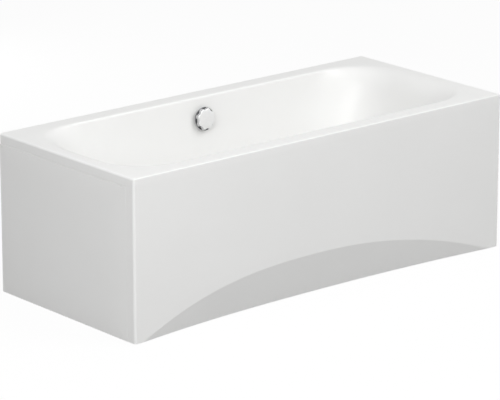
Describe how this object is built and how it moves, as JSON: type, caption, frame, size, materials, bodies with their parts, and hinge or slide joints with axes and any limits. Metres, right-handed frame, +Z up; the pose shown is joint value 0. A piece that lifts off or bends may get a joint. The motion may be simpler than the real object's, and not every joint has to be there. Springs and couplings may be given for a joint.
{
  "type": "panelled bathtub",
  "caption": "White acrylic bathtub with a flat rim, rolled basin, arched front panel, end panel, adjustable feet, trap and a turn-knob overflow that lifts the plug.",
  "frame": {"origin": "on the floor below the middle of the rim", "axes": "+X along the bath, away from the end panel; -Y towards the room through the front panel; +Z up"},
  "size_m": [1.7, 0.75, 0.58],
  "materials": {
    "white_acrylic": "high gloss",
    "chrome_plate": "polished",
    "galvanised_steel": "zinc coated sheet",
    "zinc_steel": "zinc plated",
    "chipboard": "raw board",
    "pine": "planed",
    "white_plastic": "moulded",
    "grey_plastic": "moulded",
    "black_plastic": "moulded",
    "black_rubber": "matt"
  },
  "bodies": {
    "tub": {"block_screws": "zinc_steel", "bowden_cable": "black_plastic", "bracket_bolts": "zinc_steel", "cable_clips": "grey_plastic", "clip_screws": "zinc_steel", "end_panel": "white_acrylic", "end_panel_stays": "galvanised_steel", "floor_board": "chipboard", "foot_nuts": "zinc_steel", "front_panel": "white_acrylic", "front_panel_brackets": "galvanised_steel", "leg_bar_left": "galvanised_steel", "leg_bar_right": "galvanised_steel", "leg_screws": "zinc_steel", "outlet_nut": "grey_plastic", "outlet_pipe": "white_plastic", "overflow_body": "white_plastic", "overflow_gasket": "black_rubber", "overflow_pipe": "white_plastic", "overflow_pipe_nuts": "grey_plastic", "overflow_rosette": "chrome_plate", "panel_blocks": "pine", "panel_clips": "galvanised_steel", "rim_batten_back": "pine", "rim_batten_front": "pine", "rim_batten_left": "pine", "rim_batten_right": "pine", "trap_bend": "white_plastic", "trap_nut": "grey_plastic", "tub_shell": "white_acrylic", "waste_body": "white_plastic", "waste_flange": "chrome_plate", "waste_lower_gasket": "black_rubber", "waste_upper_gasket": "black_rubber"},
    "knob": {"overflow_knob": "chrome_plate", "overflow_spindle": "zinc_steel", "overflow_crank": "white_plastic"},
    "lift_lever": {"lift_lever": "white_plastic"},
    "lift_pin": {"lift_pin": "zinc_steel"},
    "plug": {"plug": "chrome_plate", "plug_seal": "black_rubber"},
    "foot_front_left": {"foot_pad_front_left": "black_plastic"},
    "stud_front_left": {"foot_stud_front_left": "zinc_steel"},
    "foot_back_left": {"foot_pad_back_left": "black_plastic"},
    "stud_back_left": {"foot_stud_back_left": "zinc_steel"},
    "foot_front_right": {"foot_pad_front_right": "black_plastic"},
    "stud_front_right": {"foot_stud_front_right": "zinc_steel"},
    "foot_back_right": {"foot_pad_back_right": "black_plastic"},
    "stud_back_right": {"foot_stud_back_right": "zinc_steel"}
  },
  "joints": [
    {"name": "knob_turn", "type": "hinge", "parent": "tub", "child": "knob", "pos_m": [-0.0025, 0.29465, 0.50006], "axis": [0, -0.9925, 0.1219], "range_deg": [0, 90]},
    {"name": "lever_tip", "type": "hinge", "parent": "tub", "child": "lift_lever", "pos_m": [-0.0265, 0.10686, 0.0997], "axis": [0, -1, 0], "range_deg": [-0.2, 22.2]},
    {"name": "pin_lift", "type": "slide", "parent": "tub", "child": "lift_pin", "axis": [0, 0, 1], "range_m": [-0.0001, 0.0101]},
    {"name": "plug_lift_out", "type": "slide", "parent": "lift_pin", "child": "plug", "axis": [0, 0, 1], "range_m": [0, 0.12]},
    {"name": "height_front_left", "type": "slide", "parent": "tub", "child": "foot_front_left", "axis": [0, 0, -1], "range_m": [-0.003, 0.03]},
    {"name": "turn_front_left", "type": "hinge", "parent": "foot_front_left", "child": "stud_front_left", "pos_m": [-0.39043, -0.245, 0.0083], "axis": [0, 0, -1], "range_deg": [-722, 7205]},
    {"name": "height_back_left", "type": "slide", "parent": "tub", "child": "foot_back_left", "axis": [0, 0, -1], "range_m": [-0.003, 0.03]},
    {"name": "turn_back_left", "type": "hinge", "parent": "foot_back_left", "child": "stud_back_left", "pos_m": [-0.39043, 0.245, 0.0083], "axis": [0, 0, -1], "range_deg": [-722, 7205]},
    {"name": "height_front_right", "type": "slide", "parent": "tub", "child": "foot_front_right", "axis": [0, 0, -1], "range_m": [-0.003, 0.03]},
    {"name": "turn_front_right", "type": "hinge", "parent": "foot_front_right", "child": "stud_front_right", "pos_m": [0.39043, -0.245, 0.0083], "axis": [0, 0, -1], "range_deg": [-722, 7205]},
    {"name": "height_back_right", "type": "slide", "parent": "tub", "child": "foot_back_right", "axis": [0, 0, -1], "range_m": [-0.003, 0.03]},
    {"name": "turn_back_right", "type": "hinge", "parent": "foot_back_right", "child": "stud_back_right", "pos_m": [0.39043, 0.245, 0.0083], "axis": [0, 0, -1], "range_deg": [-722, 7205]}
  ],
  "couplings": [
    {"joint": "lever_tip", "follows": "knob_turn", "ratio": 0.24444},
    {"joint": "pin_lift", "follows": "knob_turn", "m_per_rad": 0.0063662},
    {"joint": "turn_front_left", "follows": "height_front_left", "rad_per_m": 4188.8},
    {"joint": "turn_back_left", "follows": "height_back_left", "rad_per_m": 4188.8},
    {"joint": "turn_front_right", "follows": "height_front_right", "rad_per_m": 4188.8},
    {"joint": "turn_back_right", "follows": "height_back_right", "rad_per_m": 4188.8}
  ]
}
